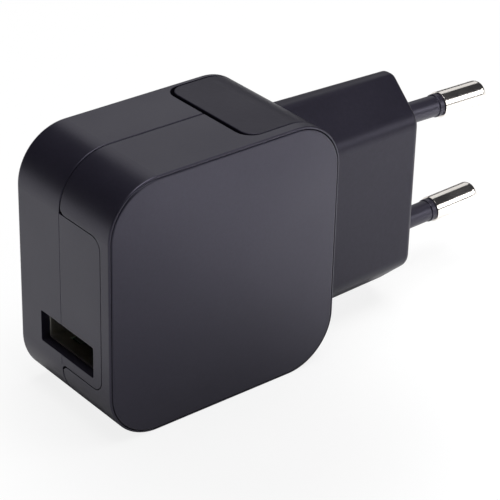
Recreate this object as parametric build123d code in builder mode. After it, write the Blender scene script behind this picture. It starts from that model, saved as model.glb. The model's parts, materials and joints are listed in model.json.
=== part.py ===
from build123d import *
import os
from math import atan, cos, pi, sin, sqrt, tan

os.makedirs("parts", exist_ok=True)

# USB wall charger with a lift-off two-pin plug head.
# Frame: the origin is the centre of the plug's end face, between the two pins.
# +X points out along the pins, +Z is up and -Y is the broad front face.

# ---------------------------------------------------------------- driving dimensions, mm
# Pins and plug block of the flat two-pin plug.
pin_diameter = 4.0
pin_length = 19.0
pin_pitch_at_wall = 18.6
pin_pitch_at_tip = 17.5
pin_tip_radius = 1.3
pin_core_diameter = 2.5
pin_tail_length = 8.0
pin_tail_head = 1.2
sleeve_diameter = 3.3
sleeve_length = 10.0
collar_diameter = 3.6
collar_length = 1.0
collar_edge_radius = 0.12
pin_relief_diameter = 4.6
pin_relief_depth = 0.25
plug_length = 19.2
plug_height = 34.6
plug_width = 13.4
plug_flat_width = 1.8
plug_side_height = 23.9
plug_draft = 1.6
plug_side_radius = 3.0
plug_flat_radius = 1.6
plug_end_radius = 1.1
plug_wall = 1.8
plug_end_wall = 3.0
pin_boss_diameter = 6.4
block_inset_share = 0.4

# Body: a rounded square block of two shells and a front plate.
body_width = 39.7
body_height = 39.7
corner_radius = 8.0
parting_y = 0.7
rear_depth = 10.3
front_depth = 11.5
wall = 1.6
rear_edge_radius = 0.6
seam = 0.15
parting_edge_break = 0.12
rim_width = 0.3
rim_radius = 0.25
bulkhead = 1.4
face_recess = 0.8
face_proud = 0.12
face_groove = 0.1
face_edge_radius = 0.25
face_crown = 0.6
lip_width = 0.7
lip_height = 1.2
lip_clearance = 0.1
lip_end_gap = 0.14

# Plate of the plug head that lies in the right side and folds over the top corner.
plate_thickness = 1.9
plate_front_y = -8.9
plate_rear_y = 9.8
tab_length = 14.8
tab_end_radius = 2.3
tab_end_gap = 0.7
plate_side_gap = 0.2
plate_under_gap = 0.1
plate_lower_z = -16.2
plate_edge_radius = 0.15
dock_wall = 1.4
dock_edge_gap = 0.1
recess_corner_gap = 0.3
block_root = 4.5
block_clearance = 0.3

# Rail that guides the plug head up and off the body.
rail_neck_width = 6.8
rail_head_width = 11.0
rail_head_thickness = 1.2
rail_half_length = 12.0
rail_plug_depth = 1.0
rail_clearance = 0.2
rail_ledge = 0.8
strip_z = 7.4
strip_end_margin = 0.6

# Panel round the USB port: the rear shell reaches forward here into the front shell.
panel_front_y = -8.73
panel_half_height = 11.88
panel_wall = 1.4
panel_corner_radius = 1.8
panel_upper_root_radius = 0.3
panel_lower_root_radius = 1.0
panel_root_margin = 1.5
front_corner_radius = 1.3
witness_width = 0.12
witness_depth = 0.06
flange_thickness = 0.8
flange_overlap = 1.0
flange_bond = 0.2
flange_bond_margin = 1.0
usb_port_lap = 0.15
usb_port_radius = 0.3
usb_y = -0.6
usb_z = -7.98

# USB socket.
usb_shell_width = 12.9
usb_shell_height = 5.2
usb_shell_length = 13.5
usb_sheet = 0.3
usb_shell_radius = 0.6
usb_recess = 0.05
usb_tongue_width = 11.1
usb_tongue_thickness = 1.8
usb_tongue_setback = 1.0
usb_tongue_lift = 1.1
usb_tongue_chamfer = 0.4
usb_contact_setback = 1.5
usb_rear_block_length = 3.0
usb_contact_pitch = 2.3
usb_contact_width = 1.1
usb_contact_thickness = 0.25
usb_leg_width = 1.6
usb_leg_reach = 1.8
usb_leg_offset = 1.0
finger_width = 1.6
finger_length = 4.0
finger_slot = 0.35
finger_setback = 2.0
finger_pitch = 6.0

# Circuit boards.
board_thickness = 1.2
board_margin = 0.5
board_corner_radius = 5.5
board_right_x = -25.0
lead_diameter = 0.6
lead_reach = 1.5
lead_fit = 0.02
lead_end_gap = 0.3
board_clearance = 0.2

# Insulating card in front of the parts.
card_thickness = 0.25
card_margin = 2.6
card_clearance = 0.6
card_hole_gap = 0.3

# Electrical pieces between the plug rail and the board.
carrier_left_x = -28.0
carrier_right_x = -25.5
carrier_half_height = 13.0
carrier_front_y = -5.0
strip_thickness = 0.4
strip_width = 3.2
spring_width = 3.0
spring_thickness = 0.3
spring_gap = 0.15
wire_diameter = 1.2
lead_bend = 0.9
fit_gap = 0.05

# How far a cut starts outside the surface that it opens, and how far a joined piece sinks in.
overcut = 1.0
sink = 0.5

# ---------------------------------------------------------------- derived places
right_x = -plug_length
left_x = right_x - body_width
body_centre_x = right_x - body_width / 2
rear_y = parting_y + rear_depth
rim_y = parting_y - front_depth
face_y = rim_y - face_proud - face_crown
bulkhead_front_y = rim_y + face_recess
bulkhead_rear_y = bulkhead_front_y + bulkhead
rear_wall_y = rear_y - wall
tab_left = body_width / 2 - tab_length
recess_depth = plate_thickness + plate_under_gap
pin_tilt = atan((pin_pitch_at_wall - pin_pitch_at_tip) / 2 / pin_length)
plate_inner_x = right_x - plate_thickness
dock_inner_x = right_x - recess_depth - dock_wall
rail_head_x = dock_inner_x - rail_clearance
rail_end_x = rail_head_x - rail_head_thickness
usb_front_x = left_x + panel_wall + usb_recess
usb_back_x = usb_front_x + usb_shell_length
usb_board_z = usb_z - usb_shell_height / 2
usb_port_width = usb_shell_width - 2 * usb_port_lap
usb_port_height = usb_shell_height - 2 * usb_port_lap
board_front_y = rear_wall_y - lead_end_gap - lead_reach
board_rear_y = board_front_y + board_thickness
lead_end_y = board_front_y + lead_reach
board_left_x = left_x + wall + board_margin
carrier_spring_x = rail_end_x - strip_thickness - spring_gap
pin_sides = {"live": 1, "neutral": -1}


def facing_front(y):
    """Plane at y seen from the front: local x is +X, local y is +Z, and it extrudes to -Y."""
    return Plane(origin=(body_centre_x, y, 0), x_dir=(1, 0, 0), z_dir=(0, -1, 0))


def facing_right(x, y=0.0, z=0.0):
    """Plane at x whose local x is +Y and local y is +Z, and which extrudes to +X."""
    return Plane(origin=(x, y, z), x_dir=(0, 1, 0), z_dir=(1, 0, 0))


def on_board(x, z, height=0.0):
    """Plane on the board's component side, height above it, which extrudes away from it."""
    return Plane(origin=(x, board_front_y - height, z), x_dir=(1, 0, 0), z_dir=(0, -1, 0))


def along_pin(side, distance=0.0):
    """Plane across the pin on that side (+1 upper, -1 lower), at a distance from the wall."""
    axis = Vector(cos(pin_tilt), 0, -side * sin(pin_tilt))
    foot = Vector(0, 0, side * pin_pitch_at_wall / 2)
    return Plane(origin=foot + axis * distance, x_dir=(0, 1, 0), z_dir=axis)


def outline(y, inset=0.0):
    """Rounded square outline of the body on the plane at y, drawn inwards by inset."""
    with BuildSketch(facing_front(y)) as shape:
        RectangleRounded(body_width - 2 * inset, body_height - 2 * inset, corner_radius - inset)
    return shape.sketch


def corner_section(y, depth, inset, left):
    """Band of that depth along the top and right of the outline, from left to the right side."""
    with BuildSketch(facing_front(y)) as shape:
        RectangleRounded(body_width - 2 * inset, body_height - 2 * inset, corner_radius - inset)
        with Locations((left + body_width, 0)):
            Rectangle(2 * body_width, 2 * body_height, mode=Mode.INTERSECT)
        with Locations((-body_width / 2 - depth, -body_height / 2 - depth)):
            RectangleRounded(2 * body_width, 2 * body_height, corner_radius - depth, mode=Mode.SUBTRACT)
    return shape.sketch


def side_plate(side_gap, end_gap, under_gap, outer_inset, end_radius, edge_radius=0.0):
    """The plug head's plate, or with gaps the recess that it drops into."""
    depth = plate_thickness + under_gap
    left = tab_left - end_gap
    rear = plate_rear_y + side_gap
    front = plate_front_y - side_gap
    lower = plate_lower_z - side_gap
    with BuildPart() as plate:
        extrude(corner_section(rear, depth, outer_inset, left), amount=rear - front)
        with BuildSketch(Plane.XY.offset(lower)):
            with Locations((body_centre_x, 0)):
                Rectangle(2 * body_width, 2 * body_width)
        extrude(amount=-body_height, mode=Mode.SUBTRACT)
        ends = plate.edges().filter_by(Axis.Z).group_by(Axis.X)[0]
        fillet(ends, end_radius)
        if edge_radius:
            fillet(plate.faces().sort_by(Axis.Z)[-1].edges(), edge_radius)
    return plate.part


def hexagon(plane, inset=0.0):
    """Section of the plug block: a flat-sided bar with slanted shoulders at top and bottom."""
    half_width = plug_width / 2 - inset
    half_height = plug_height / 2 - inset
    half_flat = plug_flat_width / 2 - inset * block_inset_share
    half_side = plug_side_height / 2 - inset * block_inset_share
    corners = [
        (half_flat, half_height),
        (-half_flat, half_height),
        (-half_width, half_side),
        (-half_width, -half_side),
        (-half_flat, -half_height),
        (half_flat, -half_height),
        (half_width, -half_side),
        (half_width, half_side),
    ]
    with BuildSketch(plane) as shape:
        with BuildLine():
            Polyline(*corners, close=True)
        make_face()
    return shape.sketch


def save(piece, name):
    """Label a finished piece and write it to its own file."""
    piece.part.label = name
    export_step(piece.part, f"parts/{name}.step")


# ---------------------------------------------------------------- body shells
recess_end_radius = tab_end_radius + recess_corner_gap
plug_recess = side_plate(plate_side_gap, tab_end_gap, plate_under_gap, -overcut, recess_end_radius)

# T-shaped slot for the rail, open at the top.
slot_lower_z = -rail_half_length - rail_clearance
slot_length = body_height / 2 + overcut - slot_lower_z
slot_back_x = rail_end_x - strip_thickness - rail_clearance
with BuildPart() as rail_slot:
    with BuildSketch(Plane.XY.offset(slot_lower_z)):
        with Locations(((rail_end_x + right_x) / 2, 0)):
            Rectangle(right_x - rail_end_x, rail_neck_width + 2 * rail_clearance)
        with Locations(((slot_back_x + dock_inner_x) / 2, 0)):
            Rectangle(dock_inner_x - slot_back_x, rail_head_width + 2 * rail_clearance)
    extrude(amount=slot_length)

dock_left = tab_left - tab_end_gap - dock_wall
dock_inset = rear_edge_radius + dock_edge_gap
pillar_places = [(-27.0, 14.6), (-27.0, -14.6), (-47.2, 7.3)]
pillar_diameter = 2.6
post_diameter = 3.0

# Height at which the lip starts again below the dock, where its outer edge has curved clear of it.
dock_depth = recess_depth + dock_wall
lip_reach = sqrt((corner_radius - wall + lip_width) ** 2 - (corner_radius - dock_depth) ** 2)
lip_end_z = -body_height / 2 + corner_radius - lip_reach - lip_end_gap

with BuildPart() as rear_shell:
    extrude(outline(rear_y), amount=rear_depth)
    fillet(rear_shell.faces().sort_by(Axis.Y)[-1].edges(), rear_edge_radius)
    chamfer(rear_shell.faces().sort_by(Axis.Y)[0].edges(), parting_edge_break)
    extrude(outline(rear_wall_y, wall), amount=rear_depth - wall, mode=Mode.SUBTRACT)
    # Locating lip inside the front shell, left out at the plug dock and at the USB panel.
    with BuildSketch(facing_front(parting_y + lip_height)):
        for inset, mode in ((wall - lip_width, Mode.ADD), (wall, Mode.SUBTRACT)):
            RectangleRounded(
                body_width - 2 * inset, body_height - 2 * inset, corner_radius - inset, mode=mode
            )
        with Locations((dock_left + body_width, lip_end_z + body_height)):
            Rectangle(2 * body_width, 2 * body_height, mode=Mode.SUBTRACT)
        with Locations((-body_width / 2, 0)):
            panel_gap = 2 * (panel_half_height + flange_overlap + lip_clearance)
            Rectangle(2 * corner_radius, panel_gap, mode=Mode.SUBTRACT)
    extrude(amount=2 * lip_height)
    # Panel that carries the USB port, with a flange behind its seam.
    with BuildSketch(facing_right(left_x)) as panel_face:
        with Locations(((panel_front_y + parting_y) / 2, 0)):
            Rectangle(parting_y - panel_front_y, 2 * panel_half_height)
        fillet(panel_face.vertices().group_by(Axis.X)[0], panel_corner_radius)
        with Locations((parting_y + panel_root_margin / 2, 0)):
            Rectangle(panel_root_margin, 2 * (panel_half_height + panel_root_margin))
        roots = panel_face.vertices().filter_by_position(Axis.X, parting_y - 0.01, parting_y + 0.01)
        roots = roots.sort_by(lambda corner: abs(corner.Y))[:2].sort_by(Axis.Y)
        fillet(roots[0], panel_lower_root_radius)
        fillet(roots[1], panel_upper_root_radius)
    extrude(amount=panel_wall)
    extrude(outline(rear_y), amount=rear_y - panel_front_y, mode=Mode.INTERSECT)
    flange_x = left_x + wall + lip_clearance
    flange_front = bulkhead_rear_y + lip_clearance
    flange_rear = parting_y + lip_height
    with BuildSketch(facing_right(left_x + panel_wall - flange_bond)):
        bond_front = panel_front_y + flange_bond_margin
        with Locations(((bond_front + flange_rear) / 2, 0)):
            Rectangle(flange_rear - bond_front, 2 * panel_half_height - flange_bond_margin)
    extrude(amount=flange_x - left_x - panel_wall + flange_bond + flange_thickness)
    with BuildSketch(facing_right(flange_x)):
        with Locations(((flange_front + flange_rear) / 2, 0)):
            Rectangle(flange_rear - flange_front, 2 * (panel_half_height + flange_overlap))
    extrude(amount=flange_thickness)
    # Dock for the plug head.
    extrude(
        corner_section(rear_y - rear_edge_radius, dock_depth, dock_inset, dock_left),
        amount=rear_depth - rear_edge_radius,
    )
    add(plug_recess, mode=Mode.SUBTRACT)
    add(rail_slot.part, mode=Mode.SUBTRACT)
    # USB port, opened out behind the panel to take the socket's shell.
    with BuildSketch(facing_right(left_x, usb_y, usb_z)):
        RectangleRounded(usb_port_width, usb_port_height, usb_port_radius)
    extrude(amount=2 * wall + flange_thickness, mode=Mode.SUBTRACT)
    with BuildSketch(facing_right(left_x + panel_wall, usb_y, usb_z)):
        Rectangle(usb_shell_width + 4 * lip_clearance, usb_shell_height + 4 * lip_clearance)
    extrude(amount=wall + flange_thickness, mode=Mode.SUBTRACT)
    # Witness line that the mould's slide leaves across the panel.
    with BuildSketch(facing_right(left_x)):
        with Locations((parting_y, 0)):
            Rectangle(witness_width, 2 * panel_half_height)
    extrude(amount=witness_depth, mode=Mode.SUBTRACT)
    # Posts behind the board.
    for x, z in pillar_places:
        with BuildSketch(Plane(origin=(x, rear_wall_y, z), x_dir=(1, 0, 0), z_dir=(0, -1, 0))):
            Circle(post_diameter / 2)
        extrude(amount=rear_wall_y - board_rear_y)
save(rear_shell, "rear_shell")

front_start_y = parting_y - seam
with BuildPart() as front_shell:
    extrude(outline(front_start_y), amount=front_start_y - rim_y)
    fillet(front_shell.faces().sort_by(Axis.Y)[0].edges(), rim_radius)
    chamfer(front_shell.faces().sort_by(Axis.Y)[-1].edges(), parting_edge_break)
    cavity_depth = front_start_y - bulkhead_rear_y
    extrude(outline(front_start_y, wall), amount=cavity_depth, mode=Mode.SUBTRACT)
    extrude(outline(bulkhead_front_y, rim_width), amount=face_recess, mode=Mode.SUBTRACT)
    # Rebate for the rear shell's lip.
    rebate_inset = wall - lip_width - lip_clearance
    rebate_depth = lip_height + lip_clearance - seam
    extrude(outline(front_start_y, rebate_inset), amount=rebate_depth, mode=Mode.SUBTRACT)
    # Notch for the USB panel.
    notch_half = panel_half_height + seam
    notch_front = panel_front_y - seam
    with BuildSketch(facing_right(left_x - overcut)) as notch:
        with Locations(((notch_front + front_start_y) / 2, 0)):
            Rectangle(front_start_y - notch_front, 2 * notch_half)
        fillet(notch.vertices().group_by(Axis.X)[0], panel_corner_radius + seam)
        with Locations((front_start_y + front_corner_radius / 2, 0)):
            Rectangle(front_corner_radius, 2 * (notch_half + 2 * front_corner_radius))
        corners = notch.vertices().filter_by_position(Axis.X, front_start_y - 0.01, front_start_y + 0.01)
        fillet(corners.sort_by(lambda corner: abs(corner.Y))[:2], front_corner_radius)
    extrude(amount=overcut + wall + lip_clearance / 2, mode=Mode.SUBTRACT)
    # Dock for the plug head.
    extrude(
        corner_section(front_start_y, dock_depth, dock_inset, dock_left),
        amount=front_start_y - bulkhead_rear_y + dock_edge_gap,
    )
    add(plug_recess, mode=Mode.SUBTRACT)
    add(rail_slot.part, mode=Mode.SUBTRACT)
    # Pillars that hold the board down.
    for x, z in pillar_places:
        with BuildSketch(Plane(origin=(x, bulkhead_rear_y, z), x_dir=(1, 0, 0), z_dir=(0, 1, 0))):
            Circle(pillar_diameter / 2)
        extrude(amount=board_front_y - fit_gap - bulkhead_rear_y)
save(front_shell, "front_shell")

# Front plate: pillowed, set into the front shell's rim.
half_face = body_width / 2
crown_sphere_radius = (half_face**2 + face_crown**2) / (2 * face_crown)
with BuildPart() as face_plate:
    plate_inset = rim_width + face_groove
    extrude(outline(bulkhead_front_y, plate_inset), amount=bulkhead_front_y - face_y)
    with Locations((body_centre_x, face_y + crown_sphere_radius, 0)):
        Sphere(crown_sphere_radius, mode=Mode.INTERSECT)
    fillet(face_plate.faces().sort_by(Axis.Y)[0].edges(), face_edge_radius)
save(face_plate, "face_plate")

# ---------------------------------------------------------------- plug head
side_opening_width = rail_neck_width - 2 * rail_ledge
side_opening_half = rail_half_length - rail_ledge
block_length = plug_length + block_root
# Space behind the plate, and below it as far out as the ledge that the block slides past.
ledge_drop = -plate_lower_z + plate_side_gap - body_height / 2 + corner_radius
ledge_x = right_x - corner_radius + sqrt(corner_radius**2 - ledge_drop**2)
with BuildPart() as behind_plate:
    with BuildSketch(facing_front(rear_y)):
        with Locations((-body_width / 2 - plate_thickness, -body_height / 2 - plate_thickness)):
            RectangleRounded(2 * body_width, 2 * body_height, corner_radius - plate_thickness)
    extrude(amount=rear_y - face_y)
    with BuildSketch(facing_front(rear_y)):
        clear_width = ledge_x + block_clearance - left_x
        with Locations((clear_width / 2 - body_width / 2, plate_lower_z - body_height / 2)):
            Rectangle(clear_width, body_height)
    extrude(amount=rear_y - face_y)
with BuildPart() as plug_housing:
    block_plane = Plane(origin=(0, 0, 0), x_dir=(0, -1, 0), z_dir=(-1, 0, 0))
    extrude(hexagon(block_plane), amount=block_length, taper=-plug_draft)
    long_edges = plug_housing.edges().filter_by(lambda edge: edge.length > 0.9 * block_length)
    long_edges = long_edges.filter_by(lambda edge: abs(edge.tangent_at(0.5).X) > 0.9)
    shoulder_edges = long_edges.filter_by(lambda edge: abs(edge.center().Y) > plug_flat_width)
    fillet(shoulder_edges, plug_side_radius)
    long_edges = plug_housing.edges().filter_by(lambda edge: abs(edge.center().Y) < plug_flat_width)
    flat_edges = long_edges.filter_by(lambda edge: abs(edge.tangent_at(0.5).X) > 0.9)
    fillet(flat_edges, plug_flat_radius)
    fillet(plug_housing.faces().sort_by(Axis.X)[-1].edges(), plug_end_radius)
    add(behind_plate.part, mode=Mode.SUBTRACT)
    add(side_plate(0, 0, 0, 0, tab_end_radius, plate_edge_radius))
    # Hollow inside, bosses round the pin tails, and a way through the plate for the contacts.
    cavity_plane = Plane(origin=(-plug_end_wall, 0, 0), x_dir=(0, -1, 0), z_dir=(-1, 0, 0))
    cavity_length = plug_length - plug_end_wall
    extrude(hexagon(cavity_plane, plug_wall), amount=cavity_length, mode=Mode.SUBTRACT)
    with BuildSketch(facing_right(plate_inner_x)):
        Rectangle(side_opening_width, 2 * side_opening_half)
    extrude(amount=plate_thickness, mode=Mode.SUBTRACT)
    for side in pin_sides.values():
        boss_end = -(pin_tail_length - pin_tail_head)
        with BuildSketch(along_pin(side, boss_end)):
            Circle(pin_boss_diameter / 2)
        extrude(amount=-boss_end - plug_end_wall / 2)
        with BuildSketch(along_pin(side, boss_end)):
            Circle(pin_core_diameter / 2 + lead_fit)
        extrude(amount=-boss_end, mode=Mode.SUBTRACT)
        with BuildSketch(along_pin(side, -plug_end_wall)):
            Circle(sleeve_diameter / 2 + lead_fit)
        extrude(amount=plug_end_wall + overcut, mode=Mode.SUBTRACT)
        with BuildSketch(facing_right(0, 0, side * pin_pitch_at_wall / 2)):
            Circle(pin_relief_diameter / 2)
        extrude(amount=-pin_relief_depth, mode=Mode.SUBTRACT)
save(plug_housing, "plug_housing")

with BuildPart() as rail_cover:
    with BuildSketch(facing_right(rail_head_x)):
        Rectangle(rail_neck_width, 2 * rail_half_length)
    extrude(amount=plate_inner_x - rail_head_x)
    with BuildSketch(facing_right(rail_end_x)):
        Rectangle(rail_head_width, 2 * rail_half_length)
    extrude(amount=rail_head_thickness)
    with BuildSketch(facing_right(plate_inner_x)):
        Rectangle(side_opening_width - 2 * fit_gap, 2 * (side_opening_half - fit_gap))
    extrude(amount=rail_plug_depth)
    with BuildSketch(facing_right(rail_end_x - overcut)):
        for side in pin_sides.values():
            with Locations((0, side * strip_z)):
                Rectangle(strip_width + 2 * fit_gap, strip_thickness + 2 * fit_gap)
    extrude(amount=plug_length, mode=Mode.SUBTRACT)
save(rail_cover, "rail_cover")

for name, side in pin_sides.items():
    # Pin: thin core under the sleeve, full diameter outside it, riveted head at its tail.
    with BuildPart() as pin:
        with BuildSketch(along_pin(side, -pin_tail_length)):
            Circle(pin_core_diameter / 2)
        extrude(amount=pin_tail_length + sleeve_length)
        with BuildSketch(along_pin(side, -pin_tail_length)):
            Circle(pin_diameter / 2)
        extrude(amount=pin_tail_head)
        with BuildSketch(along_pin(side, sleeve_length)):
            Circle(pin_diameter / 2)
        extrude(amount=pin_length - sleeve_length)
        fillet(pin.faces().sort_by(Axis.X)[-1].edges(), pin_tip_radius)
    save(pin, f"{name}_pin")

    # Sleeve: insulation along the pin's root, ending in a collar just under the pin's diameter.
    with BuildPart() as sleeve:
        with BuildSketch(along_pin(side, -plug_end_wall)):
            Circle(sleeve_diameter / 2)
        extrude(amount=plug_end_wall + sleeve_length)
        with BuildSketch(along_pin(side, sleeve_length - collar_length)):
            Circle(collar_diameter / 2)
        extrude(amount=collar_length)
        collar = sleeve.edges().filter_by(GeomType.CIRCLE)
        collar = collar.filter_by(lambda edge: abs(edge.radius - collar_diameter / 2) < 0.01)
        fillet(collar, collar_edge_radius)
        with BuildSketch(along_pin(side, -plug_end_wall)):
            Circle(pin_core_diameter / 2 + lead_fit)
        extrude(amount=plug_end_wall + sleeve_length, mode=Mode.SUBTRACT)
    save(sleeve, f"{name}_pin_sleeve")

    # Contact strip: from the pin's tail through the rail, folded flat on the rail's back.
    tail_x = -pin_tail_length - strip_thickness / 2 - 2 * fit_gap
    pad_x = rail_end_x - strip_thickness / 2
    tail_z = pin_pitch_at_wall / 2 + pin_tail_length * tan(pin_tilt)
    strip_points = [
        (tail_x - body_centre_x, side * (tail_z + pin_core_diameter / 2)),
        (tail_x - body_centre_x, side * strip_z),
        (pad_x - body_centre_x, side * strip_z),
        (pad_x - body_centre_x, side * (rail_half_length - strip_end_margin)),
    ]
    with BuildPart() as strip:
        with BuildSketch(facing_front(strip_width / 2)):
            with BuildLine():
                Polyline(*strip_points)
            trace(line_width=strip_thickness)
        extrude(amount=strip_width)
    save(strip, f"{name}_contact_strip")

# ---------------------------------------------------------------- contacts inside the body
spring_root_z = 4.2
spring_crest_z = 9.2
spring_tip_z = 12.0
spring_tail = 0.6
spring_bend = 0.3
carrier_corner_radius = 0.6
spring_tail_x = carrier_left_x - spring_tail
spring_back_x = carrier_right_x + spring_thickness / 2 + fit_gap
spring_crest_x = carrier_spring_x - spring_thickness / 2
with BuildPart() as contact_carrier:
    with BuildSketch(on_board((carrier_left_x + carrier_right_x) / 2, 0)):
        Rectangle(carrier_right_x - carrier_left_x, 2 * carrier_half_height)
    extrude(amount=board_front_y - carrier_front_y)
    with BuildSketch(facing_right(carrier_left_x - overcut)):
        for side in pin_sides.values():
            with Locations((0, side * spring_root_z)):
                Rectangle(spring_width + 2 * fit_gap, spring_thickness + 2 * fit_gap)
    extrude(amount=carrier_right_x - carrier_left_x + 2 * overcut, mode=Mode.SUBTRACT)
    fillet(contact_carrier.faces().sort_by(Axis.Y)[0].edges().filter_by(Axis.Z), carrier_corner_radius)
save(contact_carrier, "contact_carrier")

for name, side in pin_sides.items():
    # Leaf spring that wipes on the contact strip as the plug head slides home.
    spring_points = [
        (spring_tail_x - body_centre_x, side * spring_root_z),
        (spring_back_x - body_centre_x, side * spring_root_z),
        (spring_crest_x - body_centre_x, side * spring_crest_z),
        (spring_back_x - body_centre_x, side * spring_tip_z),
    ]
    with BuildPart() as spring:
        with BuildSketch(facing_front(spring_width / 2)):
            with BuildLine():
                FilletPolyline(*spring_points, radius=spring_bend)
            trace(line_width=spring_thickness)
        extrude(amount=spring_width)
    save(spring, f"{name}_spring")

    # Insulated lead from the spring's tail to the board.
    lead_start_x = spring_tail_x - fit_gap
    lead_turn_x = lead_start_x - lead_bend - fit_gap
    lead_points = [
        (lead_start_x, 0, side * spring_root_z),
        (lead_turn_x, 0, side * spring_root_z),
        (lead_turn_x, board_front_y - fit_gap, side * spring_root_z),
    ]
    with BuildPart() as lead:
        with BuildLine() as lead_route:
            FilletPolyline(*lead_points, radius=lead_bend)
        with BuildSketch(Plane(origin=lead_points[0], x_dir=(0, 1, 0), z_dir=(-1, 0, 0))):
            Circle(wire_diameter / 2)
        sweep(path=lead_route.line)
    save(lead, f"{name}_lead")

# ---------------------------------------------------------------- transformer
transformer_x = -37.0
transformer_z = -8.6
core_width = 14.0
core_height = 12.5
core_depth = 6.0
core_leg = 2.2
core_yoke = 2.4
bobbin_stand = 1.5
bobbin_wall = 0.6
bobbin_flange = 0.7
winding_half_x = 5.9
winding_half_z = 4.5
winding_radius = 1.2
winding_margin = 0.3
bobbin_pin_pitch = 5.0
core_low = bobbin_stand
window_width = (core_width - 4 * core_leg) / 2
window_height = core_height - 2 * core_yoke


def core_half(upper):
    """One E of the ferrite core: a yoke with a centre leg and two outer legs."""
    base = core_low + (core_height / 2 if upper else 0)
    yoke_base = core_low + core_height - core_yoke if upper else core_low
    with BuildPart() as half:
        with BuildSketch(on_board(transformer_x, transformer_z, base)):
            for place, width in ((0, 2 * core_leg), (1, core_leg), (-1, core_leg)):
                with Locations((0, place * (core_width - core_leg) / 2)):
                    Rectangle(core_depth, width)
        extrude(amount=core_height / 2)
        with BuildSketch(on_board(transformer_x, transformer_z, yoke_base)):
            Rectangle(core_depth, core_width)
        extrude(amount=core_yoke)
    return half


for name, upper in (("transformer_core_rear", False), ("transformer_core_front", True)):
    save(core_half(upper), name)

tube_x = core_depth + 2 * fit_gap
tube_z = 2 * core_leg + 2 * fit_gap
tube_low = core_low + core_yoke + fit_gap
tube_height = window_height - 2 * fit_gap
flange_half_z = core_leg + window_width - 2 * fit_gap
flange_half_x = winding_half_x + winding_margin
with BuildPart() as bobbin:
    with BuildSketch(on_board(transformer_x, transformer_z, tube_low)):
        Rectangle(tube_x + 2 * bobbin_wall, tube_z + 2 * bobbin_wall)
    extrude(amount=tube_height)
    for level in (tube_low, tube_low + tube_height - bobbin_flange):
        with BuildSketch(on_board(transformer_x, transformer_z, level)):
            Rectangle(2 * flange_half_x, 2 * flange_half_z)
        extrude(amount=bobbin_flange)
    with BuildSketch(on_board(transformer_x, transformer_z, tube_low)):
        Rectangle(tube_x, tube_z)
    extrude(amount=tube_height, mode=Mode.SUBTRACT)
    # Feet beside the core, standing on a base that carries the pins.
    foot_width = flange_half_x - tube_x / 2
    foot_place = (flange_half_x + tube_x / 2) / 2
    with BuildSketch(on_board(transformer_x, transformer_z)):
        with Locations((foot_place, 0), (-foot_place, 0)):
            Rectangle(foot_width, 2 * flange_half_z)
    extrude(amount=tube_low + bobbin_flange)
    with BuildSketch(on_board(transformer_x, transformer_z)):
        Rectangle(2 * flange_half_x, core_width)
    extrude(amount=bobbin_stand - fit_gap)
    with BuildSketch(on_board(transformer_x, transformer_z, -lead_reach)):
        with GridLocations(2 * foot_place, bobbin_pin_pitch, 2, 3):
            Circle(lead_diameter / 2)
    extrude(amount=lead_reach + bobbin_stand / 2)
save(bobbin, "transformer_bobbin")

with BuildPart() as winding:
    winding_low = tube_low + bobbin_flange + fit_gap
    winding_height = tube_height - 2 * bobbin_flange - 2 * fit_gap
    with BuildSketch(on_board(transformer_x, transformer_z, winding_low)):
        RectangleRounded(2 * winding_half_x, 2 * winding_half_z, winding_radius)
        tube_gap = 2 * (bobbin_wall + fit_gap)
        Rectangle(tube_x + tube_gap, tube_z + tube_gap, mode=Mode.SUBTRACT)
    extrude(amount=winding_height)
save(winding, "transformer_winding")


# ---------------------------------------------------------------- parts on the main board
def lead_pair(x, z, pitch, along_x=True):
    """Places of a part's two leads on the board."""
    half = pitch / 2
    return [(x - half, z), (x + half, z)] if along_x else [(x, z - half), (x, z + half)]


# Each capacitor: its x and z on the board, can diameter, can height and lead pitch.
capacitors = {
    "bulk_capacitor_upper": (-51.6, 12.0, 8.0, 13.0, 3.5),
    "bulk_capacitor_lower": (-51.6, 2.6, 8.0, 13.0, 3.5),
    "output_capacitor_left": (-44.2, 2.0, 6.3, 11.0, 2.5),
    "output_capacitor_right": (-37.4, 3.2, 6.3, 11.0, 2.5),
}
can_edge_radius = 0.5
can_groove_level = 1.2
can_groove_width = 0.5
can_groove_depth = 0.3
bridge_place = (-36.3, 9.6)
controller_place = (-31.0, 10.4)
optocoupler_place = (-47.0, -15.0)
diode_place = (-52.0, -14.4)
choke_place = (-42.8, 12.4)
choke_pitch = 4.0
choke_drum_diameter = 6.2
choke_winding_diameter = 5.0
choke_height = 8.05
choke_flange = 1.0
fuse_place = (-34.5, 14.3)
fuse_span = 9.0
fuse_height = 2.4
fuse_diameter = 3.0
fuse_barrel = 6.4
fuse_bend = 0.9
fuse_end_radius = 0.5
safety_place = (-32.6, 4.0)
safety_diameter = 6.4
safety_thickness = 2.4
safety_pitch = 5.0
safety_stand = 0.8
safety_edge_radius = 0.9
lead_places = []
for x, z, _, _, pitch in capacitors.values():
    lead_places += lead_pair(x, z, pitch)
lead_places += lead_pair(*choke_place, choke_pitch)
lead_places += lead_pair(*fuse_place, fuse_span)
lead_places += lead_pair(*safety_place, safety_pitch, along_x=False)

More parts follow.
